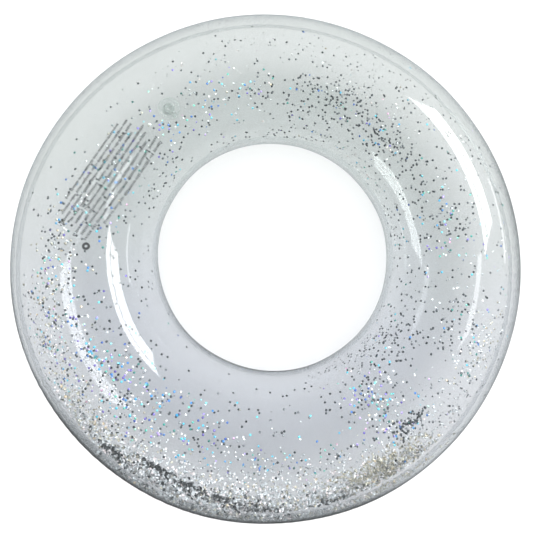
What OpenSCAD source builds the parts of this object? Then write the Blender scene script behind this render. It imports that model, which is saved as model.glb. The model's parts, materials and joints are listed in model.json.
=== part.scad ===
// Clear inflatable swim ring: a two-panel vinyl tube with a push-in valve and glitter inside it.
// Millimetres. The ring lies flat on z = 0, its axis is +Z, and its hole is centred on the origin.

/* [Tube] */
// Radius of the circle that the tube's centre line follows
ring_r = 256; // [180:1:340]
// Radius of the inflated tube
tube_r = 93; // [60:0.5:110]
// Thickness of the vinyl sheet
sheet_t = 0.3; // [0.25:0.05:0.5]
// How far the tube's underside is pressed flat by what it rests on
foot_drop = 0.5; // [0.2:0.1:2]
// Width of the weld strip where the two panels meet, turned into the tube
weld_w = 6; // [4:0.5:10]

/* [Valve] */
// Where the valve is around the ring, anticlockwise from +X
valve_azimuth = 130.3; // [0:0.1:360]
// How far the valve leans from the tube's crown towards the hole
valve_lean = 20.2; // [0:0.1:40]
// Radius of the flange that is welded to the upper panel
flange_r = 14; // [12:0.5:18]
// Thickness of the flange
flange_t = 0.8; // [0.6:0.1:1.2]
// Outer radius of the collar that the stem slides in
collar_r = 7; // [6.8:0.1:8]
// Depth of the collar below the panel
collar_depth = 4; // [3:0.5:6]
// Outer radius of the stem
stem_r = 5.2; // [5:0.1:5.6]
// Radius of the stem's bore
bore_r = 4.1; // [4:0.05:4.2]
// Length of the stem below the panel when it is pushed in
stem_depth = 20; // [18:1:26]
// Radius of the lip at the stem's mouth and of the stop at its inner end
lip_r = 6.4; // [6:0.1:6.8]
// Thickness of the lip
lip_t = 1.2; // [0.8:0.1:1.6]
// Distance from the stem's axis to the strap's fold
fold_x = 14.6; // [14.6:0.1:18]
// Width of the strap
strap_w = 4.4; // [3:0.1:6]
// Length of the plug's nub
nub_l = 5.4; // [4:0.1:6]
// Thickness of the check flap
flap_t = 0.5; // [0.3:0.1:0.8]

/* [Glitter] */
// Radius of a confetti dot
dot_r = 1.5; // [1:0.1:2]
// Radius of a fine hexagonal flake
flake_r = 0.9; // [0.5:0.1:1.2]
// Thickness of the glitter film
film_t = 0.1; // [0.08:0.01:0.2]
// Share of the resting places on the wall that hold a dot
cling_share = 0.3; // [0.1:0.05:0.6]
// Share of the resting places in the drift that hold a flake
drift_share = 0.85; // [0.3:0.05:1]
// Middle of the loose drift around the ring, anticlockwise from +X
drift_azimuth = -95; // [-180:5:180]
// Stretch of the ring that the loose drift covers, in degrees
drift_span = 112; // [40:4:180]
// Seed of the scatter
scatter_seed = 7; // [1:1:99]

/* [Hidden] */

$fn = 96;
tube_z = tube_r - foot_drop;      // height of the tube's centre line
wall_r = tube_r - sheet_t;        // inner radius of the tube
over = 1;                         // how far a cutter runs past what it cuts

running_gap = 0.05;               // radial clearance between stem and collar
weld_gap = 0.02;                  // film of weld between flange and panel
collar_top = flange_t + 0.2;      // the collar stands this far above the panel
lip_z = collar_top + 0.1;         // underside of the stem's lip
mouth_z = lip_z + lip_t;          // mouth of the stem
stop_t = 1.5;                     // thickness of the stop at the stem's inner end
lug_t = 0.6;                      // the flap's lug stands this far below the stop
lug_w = 2;                        // width of the lug
lug_clear = 0.3;                  // the lug stands this far behind the flap's hinge
strap_t = 0.8;                    // thickness of the strap
leaf_gap = 0.4;                   // from the fold's middle to each leaf of the strap
leaf_root = 0.6;                  // each leaf starts this far inside the round edge that it meets
fold_clear = 1.4;                 // the lower leaf stops this far short of the fold
plug_r = 6.2;                     // radius of the plug's head
plug_t = 1.7;                     // thickness of the plug's head
plug_gap = 0.05;                  // the plug's head sits this far off the mouth
flap_gap = 0.05;                  // the flap lies this far off the stop
flap_r = bore_r + 0.8;            // radius of the flap
flap_root_w = 3;                  // width of the flap's root
flap_hinge_x = 5.35;              // distance from the stem's axis to the flap's hinge

around = 72;                      // resting places around the ring
across = 16;                      // resting places around the tube's section
cling_gap = 0.1;                  // a clinging dot stands this far off the wall
places = [for (i = [0 : around - 1], j = [0 : across - 1]) [i, j]];
draws_each = 4;
draws = rands(0, 1, draws_each * len(places), scatter_seed);

drift_around = 40;
drift_across = 5;
drift_low = 97;                   // first lean of the drift, just under the outer weld
drift_high = 167;                 // last lean of the drift, near the foot
drift_near = 1.5;                 // nearest that a loose flake's centre is off the wall
drift_far = 5.5;                  // farthest that it is off the wall
drift_tilt = 25;                  // steepest tilt of a loose flake
drift_places = [for (i = [0 : drift_around - 1], j = [0 : drift_across - 1]) [i, j]];
drift_draws_each = 7;
drift_draws = rands(0, 1, drift_draws_each * len(drift_places), scatter_seed + 1);

// Each colour takes a band of one draw between 0 and 1.
DARK = [0, 0.38];
SILVER = [0.38, 0.58];
BLUE = [0.58, 0.74];
VIOLET = [0.74, 0.84];
GREEN = [0.84, 0.91];
GOLD = [0.91, 1];
LOOSE_SILVER = [0, 0.58];
LOOSE_GOLD = [0.58, 0.74];
LOOSE_DARK = [0.74, 1];

function inside(value, band) = value >= band[0] && value < band[1];
function draw(k, n) = draws[draws_each * k + n];
function place_azimuth(k) = (places[k][0] + 0.2 + 0.6 * draw(k, 0)) * 360 / around;
function place_lean(k) = (places[k][1] + 0.35 + 0.3 * draw(k, 1)) * 360 / across;   // clear of welds and foot
function arc(degrees, radius) = degrees * PI / 180 * radius;
function from_valve(azimuth, lean) =
    norm([arc(azimuth - valve_azimuth, ring_r), arc(lean - 360 + valve_lean, tube_r)]);
function takes(k, band) =
    draw(k, 2) < cling_share
    && inside(draw(k, 3), band)
    && from_valve(place_azimuth(k), place_lean(k)) > flange_r + 2 * dot_r;

function drift_draw(k, n) = drift_draws[drift_draws_each * k + n];
function drift_place_azimuth(k) =
    drift_azimuth + drift_span * ((drift_places[k][0] + 0.2 + 0.6 * drift_draw(k, 0)) / drift_around - 0.5);
function drift_place_lean(k) =
    drift_low + (drift_high - drift_low) * (drift_places[k][1] + 0.2 + 0.6 * drift_draw(k, 1)) / drift_across;

// Moves to the tube's centre line at an azimuth, with +Z turned outwards by the lean from the crown.
module in_tube(azimuth, lean) {
    rotate([0, 0, azimuth])
        translate([ring_r, 0, tube_z])
            rotate([0, lean, 0])
                children();
}

// The valve's own frame: origin on the panel's outer face, +Z out along the stem, +X towards the hole.
module at_valve() {
    in_tube(valve_azimuth, -valve_lean)
        translate([0, 0, tube_r])
            rotate([0, 0, 180])
                children();
}

// A pipe along Z.
module pipe(outer, inner, low, high) {
    translate([0, 0, low])
        difference() {
            cylinder(r = outer, h = high - low);
            translate([0, 0, -over]) cylinder(r = inner, h = high - low + 2 * over);
        }
}

// Everything on one side of the tube's middle plane, in its section.
module half_plane(side) {
    reach = tube_r + over;
    translate([-reach, side > 0 ? 0 : -reach]) square([2 * reach, reach]);
}

// The tube's section, pressed flat at the foot.
module round_section(radius, foot) {
    intersection() {
        circle(r = radius);
        translate([-radius - over, -foot]) square([2 * (radius + over), foot + radius + over]);
    }
}

// The hollow of the tube in section: everything inside the wall except the weld strips at its equators.
module hollow_section() {
    difference() {
        round_section(wall_r, tube_z - sheet_t);
        for (flip = [0, 1])
            mirror([flip, 0])
                translate([tube_r - weld_w, -sheet_t]) square([weld_w, 2 * sheet_t]);
    }
}

// The section of one panel: half of the tube's wall and of its weld strips.
module panel_section(side) {
    intersection() {
        difference() {
            round_section(tube_r, tube_z);
            hollow_section();
        }
        half_plane(side);
    }
}

module panel(side) {
    translate([0, 0, tube_z])
        rotate_extrude(convexity = 4)
            translate([ring_r, 0])
                panel_section(side);
}

module upper_panel() {
    color([0.86, 0.89, 0.90, 0.35])
        difference() {
            panel(1);
            at_valve()
                translate([0, 0, -tube_r / 3])
                    cylinder(r = collar_r + weld_gap, h = tube_r);
        }
}

module lower_panel() {
    color([0.84, 0.87, 0.89, 0.35]) panel(-1);
}

// The flange follows the curve of the panel, so it is cut from a shell that wraps the tube.
module valve_flange() {
    color([0.80, 0.84, 0.85, 0.6]) {
        difference() {
            intersection() {
                translate([0, 0, tube_z])
                    rotate_extrude(convexity = 4)
                        translate([ring_r, 0])
                            difference() {
                                circle(r = tube_r + flange_t);
                                circle(r = tube_r + weld_gap);
                            }
                at_valve() translate([0, 0, -tube_r / 3]) cylinder(r = flange_r, h = tube_r);
            }
            at_valve() translate([0, 0, -tube_r / 3]) cylinder(r = collar_r - sheet_t, h = tube_r);
        }
        at_valve() pipe(collar_r, stem_r + running_gap, -collar_depth, collar_top);
    }
}

// The tube of the stem, its lip, the stop at its inner end and the lug that holds the flap.
module valve_stem() {
    lug_x = flap_hinge_x + lug_clear;
    color([0.78, 0.82, 0.83, 0.7])
        at_valve() {
            pipe(stem_r, bore_r, -stem_depth, mouth_z);
            pipe(lip_r, bore_r, lip_z, mouth_z);
            pipe(lip_r, bore_r, -stem_depth, stop_t - stem_depth);
            translate([lug_x, -lug_w / 2, -stem_depth - lug_t])
                cube([lip_r - lug_x - lug_clear, lug_w, lug_t + stop_t / 2]);
        }
}

// One leaf of the strap, with a rounded end towards the fold; low is its underside.
module leaf(start_x, end_x, low) {
    translate([start_x, -strap_w / 2, low])
        cube([end_x - start_x, strap_w, strap_t]);
    translate([end_x, strap_w / 2, low + strap_t / 2])
        rotate([90, 0, 0])
            cylinder(r = strap_t / 2, h = strap_w);
}

// The leaf that belongs to the stem; it ends short of the fold, so that the other leaf can swing past it.
module strap_lower_leaf() {
    color([0.80, 0.84, 0.85, 0.7])
        at_valve()
            difference() {
                leaf(lip_r - leaf_root, fold_x - fold_clear, mouth_z - leaf_gap - strap_t);
                cylinder(r = lip_r, h = mouth_z + over);
            }
}

// The leaf that belongs to the plug and swings about the fold.
module strap_upper_leaf() {
    color([0.80, 0.84, 0.85, 0.7])
        at_valve()
            difference() {
                leaf(plug_r - leaf_root, fold_x, mouth_z + leaf_gap);
                cylinder(r = plug_r, h = mouth_z + plug_t + over);
            }
}

// The plug: a round head over a nub that narrows enough to swing out of the bore.
module valve_plug() {
    color([0.74, 0.79, 0.80, 0.8])
        at_valve()
            translate([0, 0, mouth_z + plug_gap])
                rotate_extrude()
                    polygon([
                        [0, -nub_l], [bore_r - 1.3, -nub_l], [bore_r - 0.55, -nub_l / 2], [bore_r - 0.2, 0],
                        [plug_r, 0], [plug_r, plug_t - 0.4], [plug_r - 0.4, plug_t], [0, plug_t]
                    ]);
}

// The flap closes the stem's inner end from inside the tube and swings on its lug.
module check_flap() {
    color([0.82, 0.86, 0.87, 0.7])
        at_valve()
            translate([0, 0, -stem_depth - flap_gap - flap_t]) {
                cylinder(r = flap_r, h = flap_t);
                translate([0, -flap_root_w / 2, 0]) cube([flap_hinge_x, flap_root_w, flap_t]);
            }
}

// Dots that cling to the wall, one colour at a time.
module clinging(band) {
    for (k = [0 : len(places) - 1])
        if (takes(k, band))
            in_tube(place_azimuth(k), place_lean(k))
                translate([0, 0, wall_r - cling_gap - film_t])
                    cylinder(r = dot_r, h = film_t, $fn = 24);
}

// Loose pieces that have run together on the outer underside of the tube, one colour at a time.
module drifting(band, radius, sides) {
    for (k = [0 : len(drift_places) - 1])
        if (drift_draw(k, 2) < drift_share && inside(drift_draw(k, 3), band))
            in_tube(drift_place_azimuth(k), drift_place_lean(k))
                translate([0, 0, wall_r - drift_near - drift_draw(k, 4) * (drift_far - drift_near)])
                    rotate([drift_tilt * (2 * drift_draw(k, 5) - 1), drift_tilt * (2 * drift_draw(k, 6) - 1), 0])
                        cylinder(r = radius, h = film_t, $fn = sides);
}

module dark_glitter() { color([0.20, 0.22, 0.23]) clinging(DARK); }
module silver_glitter() { color([0.90, 0.91, 0.92]) clinging(SILVER); }
module blue_glitter() { color([0.55, 0.78, 0.86]) clinging(BLUE); }
module violet_glitter() { color([0.66, 0.60, 0.82]) clinging(VIOLET); }
module green_glitter() { color([0.55, 0.76, 0.66]) clinging(GREEN); }
module gold_glitter() { color([0.86, 0.80, 0.58]) clinging(GOLD); }
module loose_silver_glitter() { color([0.80, 0.81, 0.82]) drifting(LOOSE_SILVER, flake_r, 6); }
module loose_gold_glitter() { color([0.84, 0.77, 0.62]) drifting(LOOSE_GOLD, flake_r, 6); }
module loose_dark_glitter() { color([0.28, 0.29, 0.30]) drifting(LOOSE_DARK, dot_r, 24); }

upper_panel();
lower_panel();
valve_flange();
valve_stem();
strap_lower_leaf();
strap_upper_leaf();
valve_plug();
check_flap();
dark_glitter();
silver_glitter();
blue_glitter();
violet_glitter();
green_glitter();
gold_glitter();
loose_silver_glitter();
loose_gold_glitter();
loose_dark_glitter();
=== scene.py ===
"""Visual model of a clear swim ring with glitter sealed inside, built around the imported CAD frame.

Lengths are metres. A place on the tube is given by azimuth (round the ring from +X) and lean (round the
tube from straight up: 90 is the outer seam, 180 the underside, -90 the seam round the hole), in degrees.
"""

import json
import math

import bpy
import numpy as np
from mathutils import Matrix, Vector


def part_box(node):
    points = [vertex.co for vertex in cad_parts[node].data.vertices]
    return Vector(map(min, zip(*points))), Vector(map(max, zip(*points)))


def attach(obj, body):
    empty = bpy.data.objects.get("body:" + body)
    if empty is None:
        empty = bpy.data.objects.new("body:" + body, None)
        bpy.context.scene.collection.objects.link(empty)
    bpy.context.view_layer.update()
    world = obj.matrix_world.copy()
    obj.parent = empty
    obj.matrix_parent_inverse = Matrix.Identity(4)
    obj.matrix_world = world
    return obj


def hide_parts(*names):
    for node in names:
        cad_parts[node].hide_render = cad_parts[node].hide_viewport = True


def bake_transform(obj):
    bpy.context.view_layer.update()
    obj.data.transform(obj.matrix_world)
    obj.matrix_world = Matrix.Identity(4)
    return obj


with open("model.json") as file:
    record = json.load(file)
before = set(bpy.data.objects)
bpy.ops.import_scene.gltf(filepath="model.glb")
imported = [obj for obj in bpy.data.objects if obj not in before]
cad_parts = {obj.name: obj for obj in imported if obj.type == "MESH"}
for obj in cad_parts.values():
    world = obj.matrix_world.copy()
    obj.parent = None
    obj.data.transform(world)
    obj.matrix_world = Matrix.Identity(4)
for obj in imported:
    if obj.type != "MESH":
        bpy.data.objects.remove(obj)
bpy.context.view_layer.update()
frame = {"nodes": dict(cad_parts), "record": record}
scene = bpy.context.scene
MM = 0.001

# ---------- what the frame says

upper_lo, upper_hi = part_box("upper_panel")
MID_Z = upper_lo.z  # the plane of both seams
TUBE_R = upper_hi.z - MID_Z
RING_R = upper_hi.x - TUBE_R
SHEET = 0.3 * MM
WELD_W = 6 * MM
WELD_GAP = 0.03 * MM  # keeps the panels' faces from lying in one plane

joints = {j["name"]: j for j in frame["record"]["behaviour"]["joints"]}
mounts = {m["name"]: m for m in frame["record"]["mounts"]}
VALVE_OUT = Vector(joints["stem_pull"]["axis"]).normalized()
MOUTH = Vector(mounts["inflation_port"]["pos_m"])
VALVE_SIDE = Vector(joints["plug_swing"]["axis"]).normalized()
VALVE_IN = VALVE_SIDE.cross(VALVE_OUT).normalized()  # towards the ring's hole
MOUTH_Z = 2.3 * MM
COLLAR_R = 7 * MM
VALVE_ORIGIN = MOUTH - VALVE_OUT * MOUTH_Z
VALVE_TURN = Matrix((VALVE_IN, VALVE_SIDE, VALVE_OUT)).transposed().to_4x4()
VALVE_FRAME = Matrix.Translation(VALVE_ORIGIN) @ VALVE_TURN


# ---------- camera, floor and light


def new_object(name, data):
    obj = bpy.data.objects.new(name, data)
    scene.collection.objects.link(obj)
    return obj


def aim(obj, place, target, up=(0, 0, 1)):
    """Stands obj at place, its -Z towards target and its Y as near up as it can be."""
    back = (Vector(place) - Vector(target)).normalized()
    right = Vector(up).cross(back).normalized()
    turn = Matrix((right, back.cross(right), back)).transposed().to_4x4()
    obj.matrix_world = Matrix.Translation(place) @ turn


SENSOR_MM, LENS_MM = 36.0, 36.76998
LENS_SHIFT = (-0.0472796, -0.0810507)  # shares of the picture's width
CAMERA_PLACE, CAMERA_TARGET = (-0.05816, -0.1032, MID_Z + 0.75881), (0.02259, 0.04048, MID_Z)

camera_data = bpy.data.cameras.new("camera")
camera_data.sensor_width, camera_data.lens = SENSOR_MM, LENS_MM
camera_data.shift_x, camera_data.shift_y = LENS_SHIFT
camera_data.clip_start, camera_data.clip_end = 0.01, 20.0
camera = new_object("camera", camera_data)
aim(camera, CAMERA_PLACE, CAMERA_TARGET, up=(0, 1, 0))
scene.camera = camera


class Graph:
    """Short calls for adding and joining nodes."""

    def __init__(self, tree):
        self.tree = tree

    def add(self, kind, settings=None, **inputs):
        node = self.tree.nodes.new(kind)
        for key, value in (settings or {}).items():
            setattr(node, key, value)
        for key, value in inputs.items():
            self.put(node, key.replace("_", " "), value)
        return node

    def put(self, node, key, value):
        socket = node.inputs[key]
        if isinstance(value, bpy.types.NodeSocket):
            self.tree.links.new(value, socket)
        elif isinstance(value, bpy.types.Node):
            self.tree.links.new(value.outputs[0], socket)
        else:
            socket.default_value = value

    def feed(self, node, *values):
        for i, value in enumerate(values):
            self.put(node, i, value)
        return node

    def math(self, operation, *values, clamp=False):
        node = self.add("ShaderNodeMath", {"operation": operation, "use_clamp": clamp})
        return self.feed(node, *values).outputs[0]

    def rise(self, value, nothing, full):
        """A share that runs from 0 where value is at nothing to 1 where it is at full."""
        slope = 1 / (full - nothing)
        return self.math("MULTIPLY_ADD", value, slope, -nothing * slope, clamp=True)

    def vector(self, operation, *values):
        """A number for a length or a dot product, or else a vector."""
        node = self.feed(self.add("ShaderNodeVectorMath", {"operation": operation}), *values)
        return node.outputs["Value" if operation in ("LENGTH", "DOT_PRODUCT") else "Vector"]

    def place(self):
        """The shaded point in the object's own frame, which is the scene's frame at rest."""
        return self.add("ShaderNodeTexCoord").outputs["Object"]

    def mirrored(self):
        """1 for a ray that a glossy surface has sent on, or else 0."""
        return self.add("ShaderNodeLightPath").outputs["Is Glossy Ray"]

    def mix_colour(self, share, a, b, blend="MIX"):
        node = self.add("ShaderNodeMix", {"data_type": "RGBA", "blend_type": blend})
        for key, value in ((0, share), (6, a), (7, b)):
            self.put(node, key, value)
        return node.outputs[2]

    def mix_shader(self, share, a, b):
        return self.feed(self.add("ShaderNodeMixShader"), share, a, b)

    def ramp(self, value, *stops):
        node = self.feed(self.add("ShaderNodeValToRGB"), value)
        ramp = node.color_ramp
        while len(ramp.elements) < len(stops):
            ramp.elements.new(0.5)
        for element, (place, colour) in zip(ramp.elements, stops):
            element.position = place
            element.color = (*colour, 1)
        return node.outputs[0]

    def noise(self, vector, scale, detail=2.0, roughness=0.5, output="Fac"):
        settings = {"Vector": vector, "Scale": scale, "Detail": detail, "Roughness": roughness}
        return self.add("ShaderNodeTexNoise", **settings).outputs[output]

    def output(self, surface):
        self.add("ShaderNodeOutputMaterial", Surface=surface)


def new_material(name):
    material = bpy.data.materials.new(name)
    material.use_nodes = True
    material.node_tree.nodes.clear()
    return material, Graph(material.node_tree)


WHITE = (1, 1, 1, 1)
FLOOR_REACH, FLOOR_DROP = 6.0, 0.3 * MM
FLOOR_TONES = ((0.3, (0.93, 0.93, 0.93)), (0.7, (0.96, 0.96, 0.96)))
SKY_WHITE = 1.55
STUDIO_GREY = (0.93, 0.98, 1.0, 1)  # the tone of what mirrored rays see
FLOOR_MIRRORED, SKY_MIRRORED = 0.55, 0.5  # how bright floor and sky are to them
CARD_MIRRORED = 0.06  # and a dark card on the floor beside the ring, which darkens its rim
CARD_TOWARDS = (-0.26, -0.97, 0.0)
CARD_STARTS, CARD_FULL = 1 / 30, 0.2  # metres from the ring's axis along CARD_TOWARDS
CARD_KEEPS, CARD_ENDS = 0.4, 0.5111  # metres from the ring's axis


def make_floor():
    mesh = bpy.data.meshes.new("floor")
    signs = ((-1, -1), (1, -1), (1, 1), (-1, 1))
    mesh.from_pydata([(FLOOR_REACH * x, FLOOR_REACH * y, -FLOOR_DROP) for x, y in signs], [], [(0, 1, 2, 3)])
    floor = new_object("floor", mesh)
    material, g = new_material("floor_paint")
    place = g.place()
    paint = g.add(
        "ShaderNodeBsdfPrincipled", Base_Color=g.ramp(g.noise(place, 1.5), *FLOOR_TONES),
        Roughness=0.9, Specular_IOR_Level=0.1,
    )
    near = g.rise(g.vector("LENGTH", place), CARD_ENDS, CARD_KEEPS)
    beside = g.rise(g.vector("DOT_PRODUCT", place, CARD_TOWARDS), CARD_STARTS, CARD_FULL)
    card = g.math("MULTIPLY", near, beside)
    seen = g.math("MULTIPLY_ADD", card, CARD_MIRRORED - FLOOR_MIRRORED, FLOOR_MIRRORED)
    dim = g.add("ShaderNodeEmission", Color=STUDIO_GREY, Strength=seen)
    g.output(g.mix_shader(g.mirrored(), paint, dim))
    mesh.materials.append(material)
    return floor


def make_world():
    """White all round for what the camera sees and for soft light; a dimmer studio for mirrored rays."""
    world = bpy.data.worlds.new("studio")
    scene.world = world
    world.use_nodes = True
    world.node_tree.nodes.clear()
    g = Graph(world.node_tree)
    bright = g.add("ShaderNodeBackground", Color=WHITE, Strength=SKY_WHITE)
    dim = g.add("ShaderNodeBackground", Color=STUDIO_GREY, Strength=SKY_MIRRORED)
    g.add("ShaderNodeOutputWorld", Surface=g.mix_shader(g.mirrored(), bright, dim))


def area_light(name, azimuth, elevation, distance, size, radiance, rise=0.0):
    """A light that faces the ring's centre, moved up its own face by rise."""
    a, e = math.radians(azimuth), math.radians(elevation)
    out = Vector((math.cos(e) * math.cos(a), math.cos(e) * math.sin(a), math.sin(e)))
    data = bpy.data.lights.new(name, "AREA")
    data.shape, data.size, data.size_y = "RECTANGLE", *size
    data.energy = radiance * size[0] * size[1] * math.pi
    light = new_object(name, data)
    light.visible_camera = False
    centre = Vector((0, 0, MID_Z))
    aim(light, centre + out * distance, centre)
    light.matrix_world = light.matrix_world @ Matrix.Translation((0, rise, 0))
    return light


floor = make_floor()
make_world()
SOFTBOX = {"azimuth": 29.8, "elevation": 42.7, "distance": 2.45, "radiance": 7.0}
panes = (  # a softbox with a bar across it, a small pane beside it, and a low strip that the rim mirrors
    area_light("softbox_lower", size=(1.18, 0.55), rise=-0.17, **SOFTBOX),
    area_light("softbox_upper", size=(1.18, 0.29), rise=0.295, **SOFTBOX),
    area_light("side_pane", azimuth=1, elevation=60.5, distance=2.45, size=(0.46, 0.3), radiance=3.0),
    area_light("low_strip", azimuth=13, elevation=15, distance=2.4, size=(0.85, 0.15), radiance=2.6),
)
not_by_panes = bpy.data.collections.new("lit_by_the_sky_alone")
not_by_panes.objects.link(floor)
for pane in panes:
    pane.light_linking.receiver_collection = not_by_panes
not_by_panes.collection_objects[0].light_linking.link_state = "EXCLUDE"

glint_lamp = area_light("glint_lamp", azimuth=58, elevation=60, distance=1.6, size=(0.5, 0.5), radiance=60.0)
glitter_alone = bpy.data.collections.new("lit_by_the_glint_lamp")
glint_lamp.light_linking.receiver_collection = glitter_alone

scene.view_settings.view_transform = "Standard"
scene.view_settings.look = "None"
scene.cycles.transparent_max_bounces = 32
scene.cycles.caustics_reflective = False

# ---------- the skin's shape

draw = np.random.default_rng(36)


def wave_bank(count, low, high):
    """Sines of whole-number frequency round the ring, with seeded phases."""
    return draw.integers(low, high, count), draw.uniform(0, 2 * np.pi, count), draw.uniform(0.5, 1.0, count)


def ripple(azimuth, bank):
    frequency, phase, size = bank
    total = sum(s * np.sin(f * azimuth + p) for f, p, s in zip(frequency, phase, size))
    return total / math.sqrt((size**2).sum() / 2)


PUCKERS = wave_bank(9, 78, 186)
PUCKER_SETS = wave_bank(4, 5, 17)
SWELLS = wave_bank(4, 3, 11)
TWISTS = wave_bank(4, 4, 13)
PUCKER_HEIGHT = 0.3 * MM
SEAM_REACH, SEAM_SHARE = 4, 0.45  # puckers at the outer seam itself: reach in degrees, share of full height
BESIDE_SEAM, BESIDE_REACH = 8, 9  # and where they stand highest, in degrees from the seam
SWELL_HEIGHT = 0.14 * MM
GROOVE_DEPTH, GROOVE_REACH = 0.3 * MM, 1.4 * MM  # where each weld pulls the skin in
SLACK_PLACES = ((4, 26, 1.3), (-130, 24, 1.1), (95, 30, 0.5))  # azimuth, reach and strength of slack skin
SLACK_USUAL, SLACK_SWAY, SLACK_LEAST = 0.6, 0.25, 0.15


def degrees_from(angle, centre):
    """How many degrees apart two angles are, the shorter way round. The first is in radians."""
    return np.degrees(np.abs(np.angle(np.exp(1j * (angle - math.radians(centre))))))


def slack(azimuth):
    """How slack the skin is at the outer seam, which scales its puckers."""
    total = SLACK_USUAL + SLACK_SWAY * ripple(azimuth, PUCKER_SETS)
    for centre, reach, strength in SLACK_PLACES:
        total = total + strength * np.exp(-((degrees_from(azimuth, centre) / reach) ** 2))
    return np.maximum(total, SLACK_LEAST)


def relief(azimuth, lean):
    """How far the skin stands off a true torus: seam puckers, long swells and the pull of the seam."""
    from_seam = degrees_from(lean, 90)
    at_seam = SEAM_SHARE * np.exp(-((from_seam / SEAM_REACH) ** 2))
    beside_seam = np.exp(-(((from_seam - BESIDE_SEAM) / BESIDE_REACH) ** 2))
    puckers = PUCKER_HEIGHT * (at_seam + beside_seam) * slack(azimuth) * ripple(azimuth, PUCKERS)
    swell = ripple(azimuth, SWELLS) * np.cos(2 * lean) + ripple(azimuth, TWISTS) * np.sin(3 * lean + 1)
    groove = GROOVE_DEPTH * np.exp(-((np.cos(lean) * TUBE_R / GROOVE_REACH) ** 2))
    return puckers + SWELL_HEIGHT * swell - groove


def on_tube(azimuth, lean, off=0.0):
    """Points on the skin's outer face, moved off outward. Angles are radians, in arrays."""
    reach = TUBE_R + relief(azimuth, lean) + off
    rho = RING_R + reach * np.sin(lean)
    return np.stack([rho * np.cos(azimuth), rho * np.sin(azimuth), MID_Z + reach * np.cos(lean)], axis=-1)


def outward(azimuth, lean):
    return np.stack([np.sin(lean) * np.cos(azimuth), np.sin(lean) * np.sin(azimuth), np.cos(lean)], axis=-1)


def unit(vectors):
    return vectors / np.linalg.norm(vectors, axis=1)[:, None]


def mesh_object(name, points, faces, material, smooth_under=None):
    mesh = bpy.data.meshes.new(name)
    mesh.from_pydata(points, [], faces)
    mesh.materials.append(material)
    if smooth_under is not None:
        mesh.shade_smooth()
        mesh.set_sharp_from_angle(angle=math.radians(smooth_under))
    mesh.validate()
    return new_object(name, mesh)


def loop_faces(rows, columns, close_rows=True):
    """Quads over a grid whose columns close on themselves, and whose rows do too if asked."""
    faces = []
    for i in range(rows if close_rows else rows - 1):
        for j in range(columns):
            a, b = i * columns + j, i * columns + (j + 1) % columns
            c, d = ((i + 1) % rows) * columns + (j + 1) % columns, ((i + 1) % rows) * columns + j
            faces.append((a, d, c, b))
    return faces


# ---------- materials

MIRROR_STRAIGHT, MIRROR_GLANCING, MIRROR_POWER = 0.04, 0.7, 5.0  # how film mirrors as it turns away
DRIFT_SCALE, SHADE_PATCH_SCALE, PATCH_SCALE, SCUFF_SCALE = 5.0, 30.0, 9.0, 55.0  # of the noises, per metre
PINHOLE_SCALE, GRAIN_SCALE = 900.0, 1600.0
PAINTED_HORIZON_PER_METRE, PAINTED_HORIZON_WANDER = 2.2, 0.8  # painted reflection of a horizon: how film's tint goes from the tint below it to the tint above along Y
MIDDLE_PAINTED_SHADE, OUTER_PAINTED_SHADE = (0.985, 0.985, 0.985), (0.946, 0.947, 0.946)  # painted shade: film made darker towards the outer rim
SHADE_PATCH_TINT = (0.93, 0.95, 0.94, 1)  # painted shade: a soft grey patch on the upper skin
SHADE_PATCH_PLACE, SHADE_PATCH_REACH = (0.085, 0.196, 2 * MID_Z), 1 / 30
SHADE_PATCH_STRETCH, SHADE_PATCH_TURN, SHADE_PATCH_WANDER = 2.2, math.radians(-28), (0.05, 0.03, 0)
EDGE_POWER, EDGE_AT_HOLE = 6.0, 0.2  # how late the edge's tint comes in, and its share at the hole's side
EDGE_STARTS, EDGE_FULL = RING_R - 0.05 * TUBE_R, RING_R + 0.45 * TUBE_R
PAINTED_SLATE_TOWARDS, PAINTED_SLATE_WIDENS = (-0.26, -0.97, 0.0), 2.0  # painted shade: the side where the rim is darkened to a dark grey-blue
PAINTED_SLATE_STARTS, PAINTED_SLATE_FULL = 0.225, 0.2875  # metres from the ring's axis along PAINTED_SLATE_TOWARDS
PAINTED_TEAL_STARTS, PAINTED_TEAL_FULL = 0.26875, 0.33125  # metres along X: there the rim has painted dark shade in patches


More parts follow.
